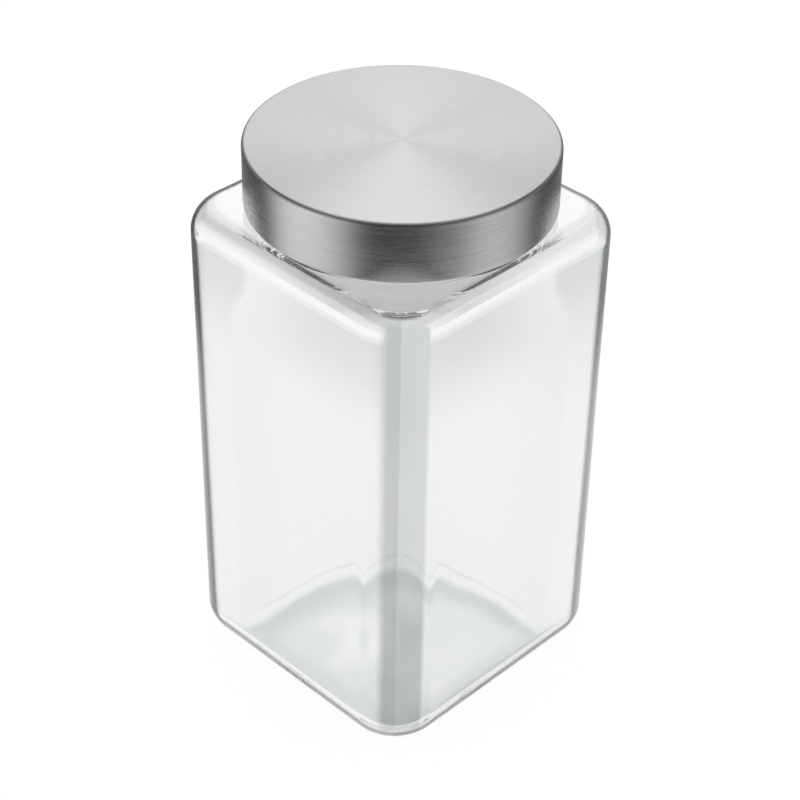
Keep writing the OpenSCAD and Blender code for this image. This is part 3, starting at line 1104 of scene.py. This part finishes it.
# A shadow painted on the floor, seen only through the glass.
ARCH_SHADOW_TONE = (0.66, 0.69, 0.70, 1)
ARCH_BACK = 28 * MM
ARCH_BEND = 30 * MM
ARCH_SLOPE = 1.17
ARCH_WIDE = 21 * MM
ARCH_NARROWS = 5 * MM
ARCH_SWAY = 9 * MM
ARCH_END = (ARCH_BACK + 2.5 * MM, ARCH_BACK - 3.5 * MM)
UNDER_SHADE_LEFT = (0.86, 0.885, 0.885, 1)
UNDER_SHADE_RIGHT = (0.92, 0.94, 0.94, 1)
LINE_BACK = 35 * MM
LINE_SOFT = (1.4 * MM, 0.3 * MM)
LINE_ENDS = (58 * MM, 44 * MM)
LINE_SHADE_TONE = (0.9, 0.91, 0.91, 1)
RIM_SHADE_TONE = (0.74, 0.765, 0.765, 1)
RIM_FADE = 8 * MM
CONTACT_SHADOW_LEFT = (0.72, 0.735, 0.735, 1)
CONTACT_SHADOW_RIGHT = (0.42, 0.44, 0.44, 1)
FOOT_REACH = CORNER_R - BASE_R
FOOTPRINT = (CORNER_R + 3 * MM, CORNER_R - 3 * MM)
FRONT_HALF = (0.0, -20 * MM)
BROKEN = (0.3, 1.3)


def painted_arch_shadow(tree, place, aside, back):
    """The painted shade inside the arch, the painted shadow of the arch itself and the fine darker line
    behind it.
    """
    bend = math_node(tree, "SQRT", plus(tree, times(tree, aside, aside), ARCH_BEND ** 2))
    fall = times(tree, minus(tree, bend, ARCH_BEND), ARCH_SLOPE)
    sway = times(tree, minus(tree, noise_value(tree, place, 48.0, 3.0), 0.5), ARCH_SWAY)
    reach = plus(tree, plus(tree, back, fall), sway)
    under = mix_colour(tree, smooth_step(tree, aside, -14 * MM, 30 * MM), UNDER_SHADE_LEFT, UNDER_SHADE_RIGHT)
    clear = smooth_step(tree, noise_value(tree, place, 26.0, 1.0), 0.5, 0.68)
    under = mix_colour(tree, clear, under, CLEAR_FLOOR)
    tone = mix_colour(tree, soft_band(tree, reach, ARCH_BACK, ARCH_BACK - 4 * MM), CLEAR_FLOOR, under)
    line = times(tree, soft_line(tree, reach, LINE_BACK, *LINE_SOFT),
                 soft_band(tree, size_of(tree, aside), *LINE_ENDS))
    tone = mix_colour(tree, line, tone, LINE_SHADE_TONE)
    narrows = times(tree, smooth_step(tree, aside, -30 * MM, 30 * MM), ARCH_NARROWS)
    start = plus(tree, ARCH_BACK - ARCH_WIDE, narrows)
    arch = times(tree, smooth_step(tree, reach, start, ARCH_BACK - 5 * MM), soft_band(tree, reach, *ARCH_END))
    patchy = ramp(tree, noise_value(tree, place, 70.0), *PATCHY)
    return mix_colour(tree, times(tree, arch, patchy), tone, ARCH_SHADOW_TONE)


def painted_shadow_under_glass(tree, place):
    """Shadow painted on the floor and seen through the glass: the arch, and the painted shade along the front
    edges of the base.
    """
    x, y, _ = split(tree, place)
    aside = times(tree, plus(tree, x, y), HALF_ROOT)
    back = times(tree, minus(tree, y, x), HALF_ROOT)
    edge = edge_share(tree, x, y)
    inside = soft_band(tree, edge, *FOOTPRINT)
    tone = mix_colour(tree, inside, CLEAR_FLOOR, painted_arch_shadow(tree, place, aside, back))
    front = soft_band(tree, back, *FRONT_HALF)
    # Painted shade along the front edges of the base.
    near_rim = times(tree, smooth_step(tree, edge, 0.0, RIM_FADE), front)
    near_rim = times(tree, near_rim, ramp(tree, noise_value(tree, place, 60.0), *BROKEN))
    tone = mix_colour(tree, near_rim, tone, mix_colour(tree, inside, CLEAR_FLOOR, RIM_SHADE_TONE))
    # A painted contact shadow just under the base's rim, darker on the right.
    rim = times(tree, smooth_step(tree, edge, FOOT_REACH - 1 * MM, FOOT_REACH + 3 * MM),
                soft_band(tree, edge, CORNER_R, CORNER_R - 1 * MM))
    rim = times(tree, times(tree, rim, front), ramp(tree, noise_value(tree, place, 90.0), *BROKEN))
    contact_shadow = mix_colour(tree, smooth_step(tree, aside, -6 * MM, 22 * MM), CONTACT_SHADOW_LEFT, CONTACT_SHADOW_RIGHT)
    return mix_colour(tree, rim, tone, contact_shadow)


# %% Floor
FLOOR_HALF = 3.0
FLOOR_GREY = 0.9
FLOOR_GLOW = 0.9
NEAR_R = 0.20
FAR_R = 0.29


def floor_surface(tree, shader, place):
    """The floor as the lens sees it, as reflections see it, and open to all other bounced light."""
    path = tree.nodes.new("ShaderNodeLightPath").outputs
    tone = mix_colour(tree, above(tree, path["Ray Depth"], 0.5), CLEAR_FLOOR, painted_shadow_under_glass(tree, place))
    glow = node(tree, "ShaderNodeEmission", [("Color", tone), ("Strength", 1.0)]).outputs[0]
    seen = straight_light(tree, 0)
    pale = node(tree, "ShaderNodeMixShader", [(0, times(tree, seen, FLOOR_GLOW)), (1, shader.outputs[0]),
                                              (2, glow)]).outputs[0]
    there = math_node(tree, "MAXIMUM", seen, path["Is Diffuse Ray"])
    gap = tree.nodes.new("ShaderNodeBsdfTransparent").outputs[0]
    both = node(tree, "ShaderNodeMixShader", [(0, there), (1, gap), (2, pale)]).outputs[0]
    near = minus(tree, 1.0, smooth_step(tree, length(tree, place), NEAR_R, FAR_R))
    first = math_node(tree, "COMPARE", path["Ray Depth"], 1.0, 0.1)
    mirrored = node(tree, "ShaderNodeEmission", [("Color", CLEAR_FLOOR), ("Strength", 1.0)]).outputs[0]
    return node(tree, "ShaderNodeMixShader", [(0, times(tree, near, first)), (1, both),
                                              (2, mirrored)]).outputs[0]


def add_floor():
    """A pale floor, with a shadow painted on it where it is seen through the glass."""
    half = FLOOR_HALF
    mesh = bpy.data.meshes.new("floor")
    corners = [(-half, -half, 0), (half, -half, 0), (half, half, 0), (-half, half, 0)]
    mesh.from_pydata(corners, [], [(0, 1, 2, 3)])
    floor = bpy.data.objects.new("floor", mesh)
    bpy.context.collection.objects.link(floor)
    material, tree, shader, place, out = new_material("pale_floor")
    shader.inputs["Roughness"].default_value = 0.9
    shader.inputs["Base Color"].default_value = grey(FLOOR_GREY)
    link(tree, floor_surface(tree, shader, place), out.inputs["Surface"])
    floor.data.materials.append(material)
    print("floor:", 2 * half, "m wide")


add_floor()

# %% [markdown]
# ## Colour and bounces
#
# The Standard view shows colours about as they are written. Light may bounce 256 times, because glass that
# traps light turns black where the count runs out.

# %% Finish
scene = bpy.context.scene
scene.view_settings.view_transform = "Standard"
BOUNCES = 256
for kind in ("max_bounces", "glossy_bounces", "transmission_bounces"):
    setattr(scene.cycles, kind, BOUNCES)
bpy.context.view_layer.update()
